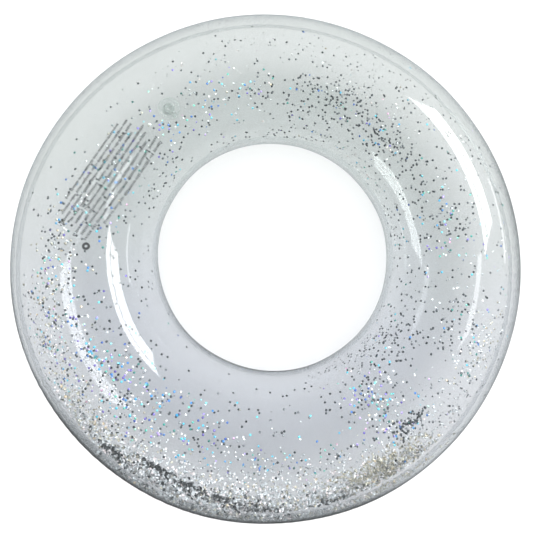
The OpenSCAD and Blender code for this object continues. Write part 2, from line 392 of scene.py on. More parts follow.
def own_tint(g, place, from_axis, tint_above_painted_horizon, tint_below_painted_horizon):
    """What film takes from light that crosses it straight, with a painted reflection of a horizon along Y,
    painted shade towards the outer rim and a painted grey patch of shade on the upper skin.
    """
    along_y = g.add("ShaderNodeSeparateXYZ", Vector=place).outputs["Y"]
    drift = g.math("MULTIPLY_ADD", g.noise(place, DRIFT_SCALE, detail=3.0), PAINTED_HORIZON_WANDER, -PAINTED_HORIZON_WANDER / 2)
    # painted reflection of a horizon: the tint changes along Y, and its line wanders with the noise
    painted_horizon = g.math("ADD", g.math("MULTIPLY_ADD", along_y, PAINTED_HORIZON_PER_METRE, 0.5), drift)
    tint = g.ramp(painted_horizon, (0.3, tint_below_painted_horizon), (0.7, tint_above_painted_horizon))
    # painted shade, darker from the hole's edge towards the outer rim
    across = g.rise(from_axis, RING_R - TUBE_R, RING_R + TUBE_R)
    shade = g.ramp(across, (0.0, (1, 1, 1)), (0.5, MIDDLE_PAINTED_SHADE), (0.75, OUTER_PAINTED_SHADE))
    tint = g.mix_colour(1.0, tint, shade, blend="MULTIPLY")
    # painted shade: a soft grey patch, stretched and turned, its outline wandering with the noise
    wander = g.noise(place, SHADE_PATCH_SCALE, detail=3.0, output="Color")
    off = g.vector("SUBTRACT", g.vector("MULTIPLY_ADD", wander, SHADE_PATCH_WANDER, place), SHADE_PATCH_PLACE)
    turned = g.add(
        "ShaderNodeMapping", {"vector_type": "TEXTURE"},
        Vector=off, Rotation=(0, 0, SHADE_PATCH_TURN), Scale=(SHADE_PATCH_STRETCH, 1, 1),
    )
    shade_patch = g.rise(g.vector("LENGTH", turned), SHADE_PATCH_REACH, 0)
    return g.mix_colour(shade_patch, tint, SHADE_PATCH_TINT, blend="MULTIPLY")


def edge_tint(g, place, edge_light, edge_painted_shade):
    """What film takes from light that skims it, with painted dark shade at the rim on one side and in
    patches along X, and how far that place is on the painted dark side.
    """
    painted_slate_share = g.rise(g.vector("DOT_PRODUCT", place, PAINTED_SLATE_TOWARDS), PAINTED_SLATE_STARTS, PAINTED_SLATE_FULL)
    along_x = g.add("ShaderNodeSeparateXYZ", Vector=place).outputs["X"]
    # painted dark shade at the rim, in patches along +X
    patchy = g.ramp(g.noise(place, PATCH_SCALE), (0.36, (0.2, 0.2, 0.2)), (0.6, (1, 1, 1)))
    painted_teal_share = g.math("MULTIPLY", g.rise(along_x, PAINTED_TEAL_STARTS, PAINTED_TEAL_FULL), patchy)
    return g.mix_colour(g.math("MAXIMUM", painted_slate_share, painted_teal_share), edge_light, edge_painted_shade), painted_slate_share


def film(name, tint_above_painted_horizon, tint_below_painted_horizon, haze_colour, haze, edge_light, edge_painted_shade, rough):
    """One face of clear film: see-through, a mirror at a glance, deeper in tint where it turns away."""
    material, g = new_material(name)
    place = g.place()
    from_axis = g.vector("LENGTH", g.vector("MULTIPLY", place, (1, 1, 0)))
    facing = g.add("ShaderNodeLayerWeight", Blend=0.5).outputs["Facing"]
    tint = own_tint(g, place, from_axis, tint_above_painted_horizon, tint_below_painted_horizon)
    edge, painted_slate_share = edge_tint(g, place, edge_light, edge_painted_shade)
    # on the painted dark side the rim's shade also comes in sooner
    turned_away = g.math("POWER", facing, g.math("MULTIPLY_ADD", painted_slate_share, -PAINTED_SLATE_WIDENS, EDGE_POWER))
    outer = g.rise(from_axis, EDGE_STARTS, EDGE_FULL)
    by_place = g.math("MULTIPLY_ADD", outer, 1 - EDGE_AT_HOLE, EDGE_AT_HOLE)
    # the tint deepens where film turns away; towards edge_painted_shade it is painted shade at the rim
    deep = g.mix_colour(g.math("MULTIPLY", turned_away, by_place), tint, edge)
    through = g.add("ShaderNodeBsdfTransparent", Color=deep)
    bloom = g.add("ShaderNodeBsdfDiffuse", Color=haze_colour)
    glow = g.add("ShaderNodeBsdfTranslucent", Color=haze_colour)
    scuffs = g.noise(place, SCUFF_SCALE, detail=6.0, roughness=0.62)
    haze_share = g.math("MULTIPLY_ADD", scuffs, haze, haze / 2)
    body = g.mix_shader(haze_share, through, g.mix_shader(0.5, bloom, glow))
    scuffed = g.math("MULTIPLY_ADD", scuffs, rough, rough / 3)
    gloss = g.add("ShaderNodeBsdfGlossy", Color=WHITE, Roughness=scuffed)
    mirror = g.math("MULTIPLY_ADD", g.math("POWER", facing, MIRROR_POWER), MIRROR_GLANCING, MIRROR_STRAIGHT)
    g.output(g.mix_shader(mirror, body, gloss))
    return material


def fused_film():
    """Where two sheets are melted into one there is nothing to see but a trace of cloud."""
    material, g = new_material("fused_film")
    trace = g.ramp(g.noise(g.place(), 90.0), (0.3, (0.985, 0.99, 0.99)), (0.7, (1.0, 1.0, 1.0)))
    g.output(g.add("ShaderNodeBsdfTransparent", Color=trace))
    return material


def ink():
    """Thin dark-grey screen print, broken up by fine pinholes."""
    material, g = new_material("grey_ink")
    specks = g.noise(g.place(), PINHOLE_SCALE, detail=3.0)
    tone = g.ramp(specks, (0.3, (0.018, 0.02, 0.023)), (0.75, (0.09, 0.096, 0.1)))
    matt = g.math("MULTIPLY_ADD", specks, 0.3, 0.35)
    g.output(g.add("ShaderNodeBsdfPrincipled", Base_Color=tone, Roughness=matt))
    return material


GRAIN_IN_TONE, GRAIN_IN_ROUGHNESS = 0.12, 0.2


def foil(name, metal, rough, lower_stop, upper_stop, *colours):
    """Metallised film in flakes: each flake's tone picks its colour, and a fine grain breaks its shine."""
    material, g = new_material(name)
    tone = g.add("ShaderNodeAttribute", {"attribute_name": "flake_tone"}).outputs["Fac"]
    grain = g.noise(g.place(), GRAIN_SCALE)
    tone = g.math("MULTIPLY_ADD", grain, GRAIN_IN_TONE, g.math("SUBTRACT", tone, GRAIN_IN_TONE / 2))
    shine = g.math("MULTIPLY_ADD", grain, GRAIN_IN_ROUGHNESS, rough - GRAIN_IN_ROUGHNESS / 2)
    colour = g.ramp(tone, *zip((0.0, lower_stop, upper_stop, 1.0), colours))
    g.output(g.add("ShaderNodeBsdfPrincipled", Base_Color=colour, Metallic=metal, Roughness=shine))
    return material


VALVE_CAST, VALVE_EDGE = (0.91, 0.93, 0.92), (0.45, 0.5, 0.49, 1)
# In the films the two tints along Y make a painted reflection of a horizon, greener above and more lilac
# below
MATERIALS = {
    "sheet": film(
        "clear_vinyl_sheet", tint_above_painted_horizon=(0.948, 0.957, 0.955), tint_below_painted_horizon=(0.952, 0.957, 0.968),
        haze_colour=(0.75, 0.79, 0.8, 1), haze=0.03,
        # the near-black edge colour is painted shade at the rim
        edge_light=(0.88, 0.9, 0.91, 1), edge_painted_shade=(0.012, 0.04, 0.055, 1), rough=0.05,
    ),
    "weld": film(
        "weld_strip", tint_above_painted_horizon=(0.985, 0.99, 0.99), tint_below_painted_horizon=(0.983, 0.987, 0.992),
        haze_colour=(0.8, 0.84, 0.85, 1), haze=0.03,
        edge_light=(0.9, 0.92, 0.93, 1), edge_painted_shade=(0.8, 0.84, 0.86, 1), rough=0.1,
    ),
    "fused": fused_film(),
    "valve": film(
        "soft_valve_vinyl", tint_above_painted_horizon=VALVE_CAST, tint_below_painted_horizon=VALVE_CAST,
        haze_colour=(0.84, 0.88, 0.88, 1), haze=0.15,
        edge_light=VALVE_EDGE, edge_painted_shade=VALVE_EDGE, rough=0.12,
    ),
    "ink": ink(),
}
FOILS = {  # metal, roughness, two stops along a flake's tone, and the colours at 0, at the stops and at 1
    "dark": (
        0.5, 0.34, 0.4, 0.75,
        (0.008, 0.013, 0.016), (0.022, 0.03, 0.034), (0.075, 0.088, 0.092), (0.24, 0.26, 0.27),
    ),
    "silver": (
        0.35, 0.24, 0.25, 0.8, (0.24, 0.28, 0.28), (0.6, 0.65, 0.66), (0.86, 0.89, 0.89), (0.9, 0.8, 0.78),
    ),
    "blue": (
        0.25, 0.28, 0.35, 0.7, (0.03, 0.08, 0.34), (0.04, 0.24, 0.6), (0.07, 0.55, 0.72), (0.26, 0.74, 0.78),
    ),
    "violet": (
        0.25, 0.28, 0.5, 0.8, (0.08, 0.055, 0.3), (0.24, 0.2, 0.6), (0.5, 0.4, 0.72), (0.7, 0.4, 0.5),
    ),
    "green": (
        0.25, 0.28, 0.5, 0.8, (0.01, 0.1, 0.09), (0.025, 0.32, 0.27), (0.2, 0.66, 0.52), (0.52, 0.76, 0.64),
    ),
    "gold": (
        0.4, 0.26, 0.5, 0.8, (0.34, 0.32, 0.24), (0.56, 0.55, 0.46), (0.72, 0.71, 0.58), (0.8, 0.66, 0.46),
    ),
}
MATERIALS.update({kind: foil(f"{kind}_foil", *look) for kind, look in FOILS.items()})

# ---------- the two panels

AZIMUTH_STEPS = 720
SEAM_ZONE, SEAM_ROWS, OTHER_ROWS = 20, 19, 42  # degrees by the outer seam, their rows and the rest's


def panel_leans(side):
    """Leans across one panel, closer together at the outer seam where the puckers are."""
    close, wide = np.linspace(0, SEAM_ZONE, SEAM_ROWS), np.linspace(SEAM_ZONE, 180, OTHER_ROWS)
    return math.pi / 2 - side * np.radians(np.concatenate([close, wide[1:]]))


def pierce(panel):
    """Cuts the round hole that the valve's collar fills."""
    around, half = 48, 6 * MM
    ring = [(math.cos(2 * math.pi * i / around), math.sin(2 * math.pi * i / around)) for i in range(around)]
    points = [VALVE_FRAME @ Vector((COLLAR_R * x, COLLAR_R * y, z)) for z in (-half, half) for x, y in ring]
    sides = [(i, (i + 1) % around, around + (i + 1) % around, around + i) for i in range(around)]
    ends = [tuple(range(around))[::-1], tuple(range(around, 2 * around))]
    cutter = mesh_object("cutter", points, sides + ends, MATERIALS["sheet"])
    cut = panel.modifiers.new("hole", "BOOLEAN")
    cut.operation, cut.solver, cut.object = "DIFFERENCE", "EXACT", cutter
    graph = bpy.context.evaluated_depsgraph_get()
    whole = panel.data
    panel.data = bpy.data.meshes.new_from_object(panel.evaluated_get(graph))
    panel.modifiers.clear()
    bpy.data.objects.remove(cutter)
    bpy.data.meshes.remove(whole)


def make_panel(name, node, side):
    """A closed thin skin: outer face, inner face and the two strips turned in along the welds."""
    azimuth = np.linspace(0, 2 * np.pi, AZIMUTH_STEPS, endpoint=False)
    leans = panel_leans(side)
    shown, inner = (on_tube(azimuth[None, :], leans[:, None], off) for off in (0, -SHEET))
    if side < 0:  # the tube's underside presses flat on what it lies on
        shown[..., 2] = np.maximum(shown[..., 2], 0)
        inner[..., 2] = np.maximum(inner[..., 2], SHEET)
    weld_z, inner_z = MID_Z + side * WELD_GAP, MID_Z + side * (WELD_GAP + SHEET)
    clear_of = np.maximum if side > 0 else np.minimum
    for rows, limit in ((shown, weld_z), (inner, inner_z)):
        rows[..., 2] = clear_of(rows[..., 2], limit)

    def strip(row, width, z):
        """The row at a seam moved into the tube by width, at height z."""
        rho = np.hypot(row[:, 0], row[:, 1])
        share = (rho + np.where(rho > RING_R, -width, width)) / rho
        return np.stack([row[:, 0] * share, row[:, 1] * share, np.full(len(row), z)], axis=-1)

    turn_in = ((WELD_W / 2, weld_z), (WELD_W, weld_z), (WELD_W, inner_z), (WELD_W / 2, inner_z))
    loop = [*shown, *(strip(shown[-1], *corner) for corner in turn_in)]
    loop += [*inner[::-1], *(strip(shown[0], *corner) for corner in turn_in[::-1])]
    points = np.concatenate(loop)
    faces = loop_faces(len(loop), AZIMUTH_STEPS)
    if side > 0:
        faces = [f[::-1] for f in faces]
    skin = ["sheet"] * (len(leans) - 1)
    kinds = skin + ["fused"] * 2 + ["weld"] * 3 + skin + ["weld"] * 3 + ["fused"] * 2  # the loop's bands
    panel = mesh_object(name, points.tolist(), faces, MATERIALS["sheet"], smooth_under=50)
    panel.data.materials.append(MATERIALS["weld"])
    panel.data.materials.append(MATERIALS["fused"])
    slots = np.repeat([("sheet", "weld", "fused").index(k) for k in kinds], AZIMUTH_STEPS)
    panel.data.polygons.foreach_set("material_index", slots.astype(np.int32))
    if side > 0:
        pierce(panel)
    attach(panel, "float")
    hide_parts(node)


make_panel("upper_skin", "upper_panel", 1)
make_panel("lower_skin", "lower_panel", -1)

# ---------- the valve


def skin_height(x, y):
    """Height of the tube's outer face over the valve frame's XY plane, at arrays of x and y."""
    z = np.zeros_like(x)
    x_axis, y_axis, z_axis = (np.array(v) for v in (VALVE_IN, VALVE_SIDE, VALVE_OUT))
    for _ in range(6):  # each step leaves about a hundredth of the error
        p = np.array(VALVE_ORIGIN) + x[..., None] * x_axis + y[..., None] * y_axis + z[..., None] * z_axis
        rho = np.hypot(p[..., 0], p[..., 1])
        z = z - (np.hypot(rho - RING_R, p[..., 2] - MID_Z) - TUBE_R)
    return z


def place_in_valve(points):
    matrix = np.array(VALVE_FRAME)
    return points @ matrix[:3, :3].T + matrix[:3, 3]


CORNER_SHARE = 0.45  # the most that a rounded corner takes of the sides beside it


def rounded(profile, radius=0.25, steps=3):
    """A closed (r, z) outline in mm with its corners rounded, each by its own third value if it has one."""
    out = []
    count = len(profile)
    for i in range(count):
        here, prev, after = (np.array(profile[k % count][:2], float) for k in (i, i - 1, i + 1))
        a, b = prev - here, after - here
        reach = profile[i][2] if len(profile[i]) > 2 else radius
        reach = min(reach, CORNER_SHARE * np.linalg.norm(a), CORNER_SHARE * np.linalg.norm(b))
        start, end = here + a / np.linalg.norm(a) * reach, here + b / np.linalg.norm(b) * reach
        for t in np.linspace(0, 1, steps + 1):
            out.append(start * (1 - t) ** 2 + here * 2 * t * (1 - t) + end * t**2)
    return np.array(out)


DRAPE_FADE = 1.5 * MM


def revolve(name, profile, material, around=64, drape_from=None, wobble=None):
    """Turns a closed outline round the valve's axis. Past drape_from its heights are over the skin."""
    angle = np.linspace(0, 2 * np.pi, around, endpoint=False)
    r, z = profile[:, 0, None] * MM, profile[:, 1, None] * MM
    if wobble is not None:
        r = r + wobble(angle[None, :], z)
    x, y, z = r * np.cos(angle), r * np.sin(angle), z + 0 * angle
    if drape_from is not None:
        share = np.clip((profile[:, 0, None] * MM - drape_from) / DRAPE_FADE, 0, 1)
        z = z + skin_height(x, y) * share
    points = place_in_valve(np.stack([x, y, z], axis=-1).reshape(-1, 3))
    faces = [f[::-1] for f in loop_faces(len(profile), around)]
    return mesh_object(name, points.tolist(), faces, material, smooth_under=60)


def valve_piece(obj, body, *nodes):
    if body:
        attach(obj, body)
    if nodes:
        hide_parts(*nodes)


# Outlines are (r, z) corners in mm, z up from where the collar meets the skin. Some give a corner radius.
FLANGE_R, FLANGE_T = 14.0, 0.8
TOOL_RINGS, TOOL_RING_HALF, TOOL_RING_DEPTH = (12.6, 11.4, 10.2), 0.3, 0.22  # left by the welding tool
flange_outline = [(FLANGE_R - 0.2, 0.05, 0.05), (FLANGE_R, 0.45, 0.3), (FLANGE_R - 0.5, FLANGE_T, 0.3)]
for ring_r in TOOL_RINGS:
    flange_outline += [(ring_r + TOOL_RING_HALF, FLANGE_T), (ring_r, FLANGE_T - TOOL_RING_DEPTH)]
    flange_outline += [(ring_r - TOOL_RING_HALF, FLANGE_T)]
flange_outline += [
    (7.6, FLANGE_T, 0.5), (7.0, 1.0, 0.3), (5.25, 1.0, 0.3), (5.25, -4.0, 0.2), (7.0, -4.0, 0.4),
    (7.0, 0.03, 0.02),
]
valve_piece(
    revolve("flange", rounded(flange_outline), MATERIALS["valve"], around=96, drape_from=COLLAR_R),
    "float", "valve_flange",
)

STEM_R, STEM_GROOVES = 5.2, (-4.4, -9.4, -14.4)
stem_outline = [(4.1, 2.3, 0.3), (6.4, 2.3, 0.35), (6.4, 1.1, 0.35), (STEM_R, 1.1, 0.05)]
for groove_z in STEM_GROOVES:
    stem_outline += [(STEM_R, groove_z + 0.4), (STEM_R - 0.15, groove_z), (STEM_R, groove_z - 0.4)]
stem_outline += [(STEM_R, -18.5), (6.4, -18.5, 0.4), (6.4, -20.0, 0.4), (4.1, -20.0, 0.2)]
valve_piece(revolve("stem", rounded(stem_outline), MATERIALS["valve"]), "stem", "valve_stem")

plug_outline = [
    (0.02, 3.55), (2.6, 3.55, 0.4), (3.1, 4.05, 0.4), (5.6, 4.05, 0.5), (6.2, 3.5, 0.4), (6.2, 2.7, 0.3),
    (5.9, 2.35, 0.2), (3.9, 2.35, 0.1), (3.75, 0.9), (3.95, 0.3), (3.6, -0.4), (2.8, -3.05, 0.4),
    (0.02, -3.05),
]
valve_piece(revolve("plug", rounded(plug_outline, 0.15), MATERIALS["valve"]), "plug", "valve_plug")

STRAP_LOWER_Z, STRAP_UPPER_Z, STRAP_START_X, STRAP_FOLD_X = 1.5, 3.1, 5.6, 13.9  # in mm
STRAP_HALF_W, STRAP_HALF_T = 2.2, 0.38
STRAP_CORNERS, LEAF_STEPS, FOLD_STEPS = 20, 9, 11
STRAP_BOXINESS = 0.45  # 1 is an ellipse in section, 0 a box
WAIST_X, WAIST_REACH, WAIST_DEPTH = 10.5, 2.2, 0.5


def strap():
    """One soft strip: out from under the stem's lip, round the fold and back to the plug's rim."""
    middle, bend = (STRAP_LOWER_Z + STRAP_UPPER_Z) / 2, (STRAP_UPPER_Z - STRAP_LOWER_Z) / 2
    run = [(x, STRAP_LOWER_Z) for x in np.linspace(STRAP_START_X, STRAP_FOLD_X, LEAF_STEPS)]
    turns = np.linspace(-np.pi / 2, np.pi / 2, FOLD_STEPS)[1:-1]
    fold = [(STRAP_FOLD_X + bend * math.cos(a), middle + bend * math.sin(a)) for a in turns]
    line = np.array(run + fold + [(x, z + bend * 2) for x, z in run[::-1]])
    tangent = unit(np.gradient(line, axis=0))
    normal = np.stack([-tangent[:, 1], tangent[:, 0]], axis=1)
    angle = np.linspace(0, 2 * np.pi, STRAP_CORNERS, endpoint=False)
    wide = np.sign(np.cos(angle)) * np.abs(np.cos(angle)) ** STRAP_BOXINESS
    thick = np.sign(np.sin(angle)) * np.abs(np.sin(angle)) ** STRAP_BOXINESS
    waist = WAIST_DEPTH * np.exp(-(((line[:, 0] - WAIST_X) / WAIST_REACH) ** 2))
    points = [
        (x + n[0] * t * STRAP_HALF_T, w * (STRAP_HALF_W - pinch), z + n[1] * t * STRAP_HALF_T)
        for (x, z), n, pinch in zip(line, normal, waist)
        for w, t in zip(wide, thick)
    ]
    points = place_in_valve(np.array(points) * MM)
    faces = loop_faces(len(line), STRAP_CORNERS, close_rows=False)
    ends = range(STRAP_CORNERS), range(len(points) - STRAP_CORNERS, len(points))[::-1]
    faces += [tuple(end) for end in ends]
    obj = mesh_object("strap", points.tolist(), faces, MATERIALS["valve"], smooth_under=70)
    valve_piece(obj, None, "strap_lower_leaf", "strap_upper_leaf")
    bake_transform(obj)


strap()

SLEEVE_TOP, SLEEVE_BOTTOM, SLEEVE_T = -3.9, -18.2, 0.3
SLEEVE_ROWS, SLEEVE_CORNERS = 49, 56
SLEEVE_R, SLEEVE_NARROWS, SLEEVE_FOLDS, FOLD_DEPTH = 6.6, 0.55, 4, 0.42
SLEEVE_LOBES, SLEEVE_TWIST, SLEEVE_WOBBLE = 7, 900, 0.12 * MM


def sleeve_wobble(angle, height):
    return SLEEVE_WOBBLE * np.sin(SLEEVE_LOBES * angle + height * SLEEVE_TWIST)


def sleeve():
    """The thin folded sleeve that lets the stem slide, fixed to the collar and to the stem's foot."""
    z = np.linspace(SLEEVE_TOP, SLEEVE_BOTTOM, SLEEVE_ROWS)
    share = (z - SLEEVE_TOP) / (SLEEVE_BOTTOM - SLEEVE_TOP)
    folds = np.sin(2 * np.pi * SLEEVE_FOLDS * share) * np.sin(np.pi * share) ** 0.5
    r = SLEEVE_R - SLEEVE_NARROWS * share + FOLD_DEPTH * folds
    outline = np.concatenate([np.stack([r + SLEEVE_T, z], 1), np.stack([r, z], 1)[::-1]])
    obj = revolve("sleeve", outline, MATERIALS["valve"], around=SLEEVE_CORNERS, wobble=sleeve_wobble)
    valve_piece(obj, None)
    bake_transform(obj)


sleeve()
flap_node = frame["nodes"]["check_flap"]
flap_node.data.materials.clear()
flap_node.data.materials.append(MATERIALS["valve"])

# ---------- the print

PRINT_CORNERS = {  # azimuth and lean of the block's corners
    "start": (141.6, 0.8), "start_end": (174.3, 13.9), "last": (138.5, -37.0), "last_end": (180.5, -19.2),
}
PRINT_LIFT, PRINT_T = 0.03 * MM, 0.04 * MM
ROWS, ROW_LENGTH = 9, 150 * MM
ROW_STARTS, INDENT = (0.0, 0.05), 0.1  # shares of a row's length; every third row is indented
ROW_ENDS, SHORT_END = (0.93, 1.0), 0.82  # the first and last rows stop short
TICKS_IN_RUN, RUN_GAP = (3, 12), 1.8 * MM
TICK_WIDTH, TICK_GAP = (0.7, 1.4), (0.6, 1.4)  # mm
TICK_HALF_HEIGHT, TICK_SHIFT = (0.19, 0.28), 0.03  # shares of the pitch of the rows
MARK_AT, MARK_R, MARK_STROKE, MARK_STEPS = (182.3, -13.1), 4.6 * MM, 2.9 * MM, 28  # the plain ring


def in_print(along, across):
    """Azimuth and lean of a place in the print, whose rows run straight in plan."""
    corners = {name: on_tube(*np.radians(place))[:2] for name, place in PRINT_CORNERS.items()}
    near = corners["start"] * (1 - across) + corners["last"] * across
    far = corners["start_end"] * (1 - across) + corners["last_end"] * across
    x, y = near * (1 - along) + far * along
    return math.atan2(y, x), math.asin((math.hypot(x, y) - RING_R) / TUBE_R)


def print_tick(along, width, middle, half_height):
    """A thin raised rectangle, as its eight corners. All measures are shares of the print's sides."""
    end, low, high = along + width, middle - half_height, middle + half_height
    flat = [in_print(along, low), in_print(end, low), in_print(end, high), in_print(along, high)]
    azimuth, lean = np.array(flat).T
    return np.concatenate([on_tube(azimuth, lean, off) for off in (PRINT_LIFT, PRINT_LIFT + PRINT_T)])


def print_ring():
    """The corners of the plain ring below the print, in four loops."""
    azimuth, lean = np.radians(MARK_AT)
    angle = np.linspace(0, 2 * np.pi, MARK_STEPS, endpoint=False)
    rho = RING_R + TUBE_R * math.sin(lean)
    inner_r = MARK_R - MARK_STROKE
    loops = []
    for r, lift in ((MARK_R, 0), (MARK_R, PRINT_T), (inner_r, PRINT_T), (inner_r, 0)):
        round_azimuth, round_lean = azimuth + r * np.cos(angle) / rho, lean + r * np.sin(angle) / TUBE_R
        loops.append(on_tube(round_azimuth, round_lean, PRINT_LIFT + lift))
    return np.concatenate(loops)


def print_block():
    """Rows of plain upright ticks that stand in for printed text, and a plain ring below."""
    ticks = []
    for row in range(ROWS):
        centre = (row + 0.5) / ROWS
        along = draw.uniform(*ROW_STARTS) if row % 3 else INDENT
        end = draw.uniform(*ROW_ENDS) if row not in (0, ROWS - 1) else SHORT_END
        while along < end:
            for _ in range(int(draw.integers(*TICKS_IN_RUN))):
                width = draw.uniform(*TICK_WIDTH) * MM / ROW_LENGTH
                half_height = draw.uniform(*TICK_HALF_HEIGHT) / ROWS
                shift = draw.uniform(-TICK_SHIFT, TICK_SHIFT) / ROWS
                ticks.append(print_tick(along, width, centre + shift, half_height))
                along += width + draw.uniform(*TICK_GAP) * MM / ROW_LENGTH
            along += RUN_GAP / ROW_LENGTH
    box = [(0, 3, 2, 1), (4, 5, 6, 7), (0, 1, 5, 4), (1, 2, 6, 5), (2, 3, 7, 6), (3, 0, 4, 7)]
    faces = [tuple(8 * k + i for i in face) for k in range(len(ticks)) for face in box]
    faces += [tuple(8 * len(ticks) + i for i in face) for face in loop_faces(4, MARK_STEPS)]
    points = np.concatenate([*ticks, print_ring()])
    obj = mesh_object("print", points.tolist(), faces, MATERIALS["ink"])
    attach(obj, "float")


print_block()

# ---------- glitter

DOT_T, DOT_SIDES, FLAKE_T, FLAKE_SIDES = 0.1 * MM, 8, 0.06 * MM, 7


def flakes(name, body, node, material, centre, normal, radius, sides, thick, dish, tones, glints=True):
    """Closed many-sided flakes, each with its own dish and tone. glint_lamp lights them if glints is set."""
    count = len(centre)
    mostly_up = 0.9
    helper = np.where(np.abs(normal[:, 2:]) < mostly_up, [[0, 0, 1.0]], [[1.0, 0, 0]])
    u = unit(np.cross(helper, normal))
    v = np.cross(normal, u)
    spin = draw.uniform(0, 2 * np.pi, count)[:, None] + np.linspace(0, 2 * np.pi, sides, endpoint=False)
    rim = centre[:, None] + radius[:, None, None] * (
        np.cos(spin)[..., None] * u[:, None] + np.sin(spin)[..., None] * v[:, None]
    )
    step = normal[:, None] * (thick / 2)
    bowl = normal * (dish * radius)[:, None]
    hubs = np.stack([centre + bowl + normal * thick / 2, centre + bowl - normal * thick / 2], axis=1)
    points = np.concatenate([rim + step, rim - step, hubs], axis=1)
    each = 2 * sides + 2
    one = []
    for i in range(sides):
        j = (i + 1) % sides
        one += [(2 * sides, i, j), (2 * sides + 1, sides + j, sides + i)]
        one += [(i, sides + i, sides + j), (i, sides + j, j)]
    one = np.array(one)
    faces = (one[None] + each * np.arange(count)[:, None, None]).reshape(-1, 3)
    mesh = bpy.data.meshes.new(name)
    points = points.reshape(-1, 3)
    mesh.vertices.add(len(points))
    mesh.vertices.foreach_set("co", points.astype(np.float32).ravel())
    mesh.loops.add(faces.size)
    mesh.loops.foreach_set("vertex_index", faces.astype(np.int32).ravel())
    mesh.polygons.add(len(faces))
    mesh.polygons.foreach_set("loop_start", np.arange(0, faces.size, 3, dtype=np.int32))
    mesh.update(calc_edges=True)
    tone = mesh.attributes.new("flake_tone", "FLOAT", "FACE")
    tone.data.foreach_set("value", np.repeat(tones, len(one)).astype(np.float32))
    mesh.materials.append(material)
    obj = new_object(name, mesh)
    if glints:
        glitter_alone.objects.link(obj)
    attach(obj, body)
    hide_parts(node)


def tilted(normal, tilt):
    """Normals turned by tilt radians about random lines in the skin."""
    away = draw.normal(size=normal.shape)
    away = unit(away - (away * normal).sum(1)[:, None] * normal)
    return np.cos(tilt)[:, None] * normal + np.sin(tilt)[:, None] * away


NEAR, FAR = 1, -1
# Where flakes cling: azimuth, its reach, share of the way from hole edge to rim as the camera sees it,
# its reach, the wall of the tube they are on, count, mix
CLUSTERS = (
    (68, 8, 0.46, 0.1, NEAR, 130, "dark"), (60, 9, 0.58, 0.1, FAR, 60, "grey"),
    (48, 7, 0.36, 0.08, NEAR, 110, "dark"), (30, 11, 0.48, 0.11, NEAR, 80, "dark"),
    (13, 9, 0.45, 0.12, NEAR, 60, "dark"), (6, 10, 0.55, 0.15, NEAR, 45, "cool"),
    (55, 22, 0.08, 0.06, NEAR, 200, "sparkle"), (98, 14, 0.05, 0.04, NEAR, 60, "dark"),
    (108, 13, 0.42, 0.1, NEAR, 90, "cool"), (80, 16, 0.32, 0.12, NEAR, 60, "dark"),
    (90, 30, 0.75, 0.13, FAR, 120, "grey"), (45, 16, 0.85, 0.09, FAR, 110, "grey"),
    (130, 8, 0.42, 0.12, NEAR, 50, "cool"), (143, 14, 0.14, 0.09, NEAR, 55, "dark"),
    (158, 13, 0.5, 0.13, NEAR, 150, "cool"), (170, 9, 0.72, 0.09, NEAR, 45, "dark"),
    (-172, 10, 0.72, 0.08, NEAR, 190, "warm"), (-172, 14, 0.26, 0.12, NEAR, 40, "dark"),
    (-153, 8, 0.85, 0.05, FAR, 230, "warm"), (-166, 7, 0.8, 0.05, NEAR, 70, "warm"),
    (-142, 11, 0.58, 0.12, NEAR, 320, "cool"), (-143, 12, 0.8, 0.09, FAR, 280, "sparkle"),
    (-118, 10, 0.5, 0.1, NEAR, 110, "cool"), (-92, 16, 0.63, 0.06, FAR, 190, "cool"),
    (-56, 5, 0.46, 0.14, NEAR, 190, "cool"), (-52, 3, 0.71, 0.03, NEAR, 100, "dark"),
    (-38, 9, 0.24, 0.11, NEAR, 120, "dark"), (-50, 12, 0.1, 0.06, FAR, 130, "grey"),
    (-22, 5, 0.58, 0.06, NEAR, 50, "dark"), (-23, 6, 0.84, 0.06, NEAR, 95, "warm"),
    (-33, 11, 0.74, 0.1, NEAR, 110, "sparkle"), (0, 14, 0.5, 0.16, NEAR, 60, "cool"),
    (10, 18, 0.91, 0.04, NEAR, 110, "sparkle"), (-48, 13, 0.86, 0.08, FAR, 230, "grey"),
    (0, 20, 0.1, 0.07, NEAR, 70, "dark"), (-85, 28, 0.25, 0.12, NEAR, 50, "dark"),
    (0, 110, 0.5, 0.26, NEAR, 230, "dark"), (180, 110, 0.5, 0.26, NEAR, 170, "dark"),
    (-60, 120, 0.55, 0.26, FAR, 260, "grey"),
)
KINDS = list(FOILS)
MIXES = {  # share of each kind in a cluster, in the order of KINDS
    "dark": (0.84, 0.07, 0.05, 0.02, 0.02, 0.0),
    "grey": (0.62, 0.34, 0.01, 0.01, 0.01, 0.01),
    "cool": (0.3, 0.27, 0.19, 0.12, 0.08, 0.04),
    "warm": (0.16, 0.4, 0.06, 0.04, 0.04, 0.3),
    "sparkle": (0.3, 0.56, 0.05, 0.03, 0.03, 0.03),
}
FINE_MIXES = ("grey", "sparkle")  # mostly of small flakes
SPREAD_LIMIT, SHARE_LIMITS = 2.2, (0.015, 0.985)
SMALL_IN_FINE, SMALL_IN_OTHERS = 0.65, 0.15
SMALL_RADII, DOT_RADII = (0.7, 1.05), (1.4, 1.6)  # mm
PALER_GREYS = 0.45  # the power that the tones of a grey mix are raised to
SEAM_CLEAR = 6  # degrees either side of a seam
VALVE_LEAN, VALVE_CLEAR = math.radians(-20.2), 16.5 * MM
SWEPT_LEAN, SWEPT_REACH, SWEPT_TILT = 132, 40, 8  # where loose glitter passes, so flakes lie flat; degrees
GLINTING_TILT, USUAL_TILT, MOST_TILT = 14, 5, 32  # degrees
CLING_GAP = 0.12 * MM
FOOT_HALF_WIDTH, FOOT_RISE = 7, 0.55 * MM  # degrees, and how far the flat foot stands in from the round
DOT_DISH = (-0.05, 0.09)
